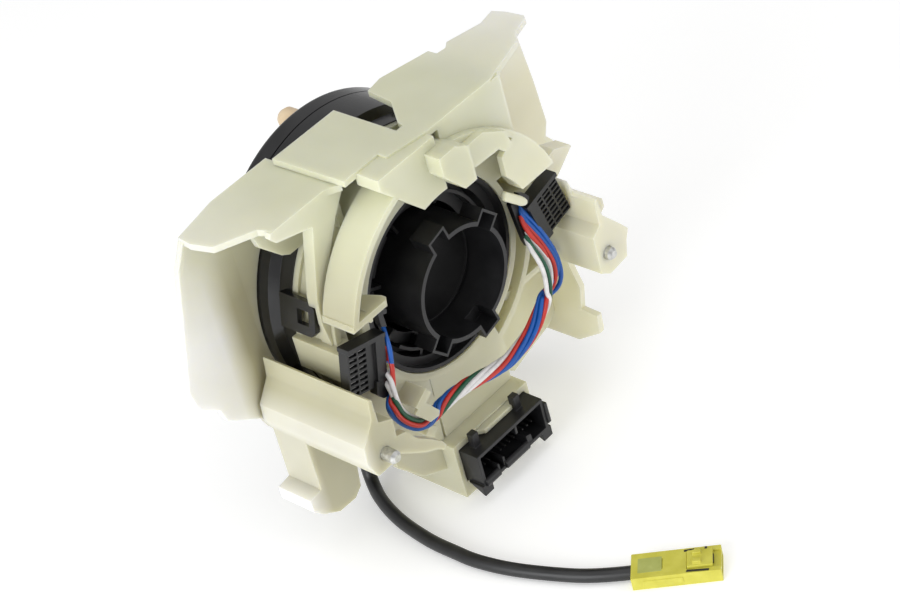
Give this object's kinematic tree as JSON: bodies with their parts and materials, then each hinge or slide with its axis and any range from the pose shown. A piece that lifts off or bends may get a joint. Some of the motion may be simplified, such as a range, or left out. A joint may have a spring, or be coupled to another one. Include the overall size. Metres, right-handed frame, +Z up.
{
  "type": "steering clock spring",
  "caption": "Steering clock spring in its combination switch body: cable reel round an open column bore, side pockets for the lever switches, harness connector and airbag lead.",
  "frame": {"origin": "on the bore axis, in the plane of the guide ring's column-side rim", "axes": "+Y along the bore towards the driver, +Z up as installed, +X to the right seen from the steering column"},
  "size_m": [0.1882, 0.1779, 0.1532],
  "materials": {
    "nylon": "satin, slightly translucent natural nylon",
    "satin_black": "satin moulded black",
    "gloss_black": "semi-gloss moulded black",
    "film": "polyester film with copper conductors",
    "peg": "satin",
    "screw": "bright zinc",
    "contact": "tin-plated",
    "wire_white": "satin insulation",
    "wire_blue": "satin insulation",
    "wire_red": "satin insulation",
    "wire_green": "satin insulation",
    "sheath": "satin sheath",
    "plug": "satin"
  },
  "bodies": {
    "switch_body": {"switch_housing": "nylon", "guide_ring": "satin_black", "stator_case": "gloss_black", "ribbon_coil": "film", "left_column_screw": "screw", "right_column_screw": "screw", "left_stalk_connector": "satin_black", "left_stalk_contacts": "contact", "right_stalk_connector": "satin_black", "right_stalk_contacts": "contact", "left_wire_hood": "satin_black", "right_wire_hood": "satin_black", "wire_white": "wire_white", "wire_blue_outer": "wire_blue", "wire_blue_inner": "wire_blue", "wire_red_inner": "wire_red", "wire_green": "wire_green", "wire_white_inner": "wire_white", "wire_red_outer": "wire_red", "harness_connector": "satin_black", "harness_pins": "contact", "airbag_lead": "sheath", "plug_body": "plug"},
    "wheel_side": {"rotor": "gloss_black", "cancel_sleeve": "satin_black", "drive_peg": "peg", "wheel_socket": "gloss_black", "wheel_socket_pins": "contact"},
    "lock": {"plug_lock": "plug"}
  },
  "joints": [
    {"name": "wheel_turn", "type": "hinge", "parent": "switch_body", "child": "wheel_side", "pos_m": [0, 0, 0], "axis": [0, 1, 0], "range_deg": [-900, 900]},
    {"name": "plug_lock_slide", "type": "slide", "parent": "switch_body", "child": "lock", "axis": [0.6086, -0.7935, 0], "range_m": [0, 0.002]}
  ]
}
